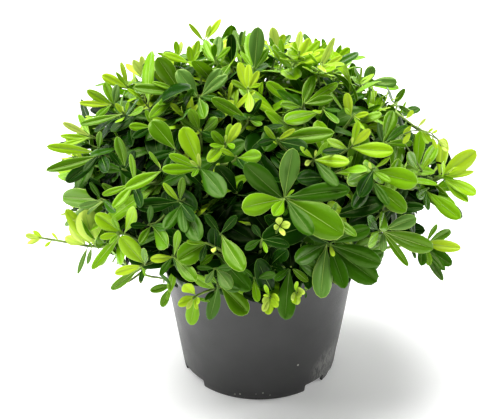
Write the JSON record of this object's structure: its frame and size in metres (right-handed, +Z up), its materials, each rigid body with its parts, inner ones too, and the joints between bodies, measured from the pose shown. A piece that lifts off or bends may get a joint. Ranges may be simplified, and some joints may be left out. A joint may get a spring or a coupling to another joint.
{
  "type": "potted pittosporum shrub",
  "caption": "Dense domed evergreen shrub with rosettes of small blunt leaves on a short trunk and boughs, standing in a round plastic nursery pot.",
  "frame": {"origin": "middle of the pot's flat underside, on the surface it stands on", "axes": "+Z up along the pot's axis, front of the picture towards -Y, +X to the right as seen from the front"},
  "size_m": [0.403, 0.3749, 0.3308],
  "materials": {
    "pot": "dark grey moulded plastic with a soft sheen, a little dust and some scuffs",
    "potting_mix": "dark brown crumbs of composted bark and peat",
    "bark": "matt grey-brown bark, greener on the young twigs",
    "foliage": "glossy dark to bright green leaves with pale midribs, yellow-green at the shoot tips"
  },
  "bodies": {
    "root": {"pot": "pot", "potting_mix": "potting_mix", "trunk": "bark", "bough_upper_1": "bark", "bough_upper_2": "bark", "bough_upper_3": "bark", "bough_upper_4": "bark", "bough_upper_5": "bark", "bough_lower_1": "bark", "bough_lower_2": "bark", "bough_lower_3": "bark", "bough_lower_4": "bark", "bough_lower_5": "bark", "bough_lower_6": "bark", "bough_lower_7": "bark", "bough_lower_8": "bark", "foliage_top": "foliage", "foliage_upper_1": "foliage", "foliage_upper_2": "foliage", "foliage_upper_3": "foliage", "foliage_upper_4": "foliage", "foliage_upper_5": "foliage", "foliage_lower_1": "foliage", "foliage_lower_2": "foliage", "foliage_lower_3": "foliage", "foliage_lower_4": "foliage", "foliage_lower_5": "foliage", "foliage_lower_6": "foliage", "foliage_lower_7": "foliage", "foliage_lower_8": "foliage"}
  },
  "joints": []
}
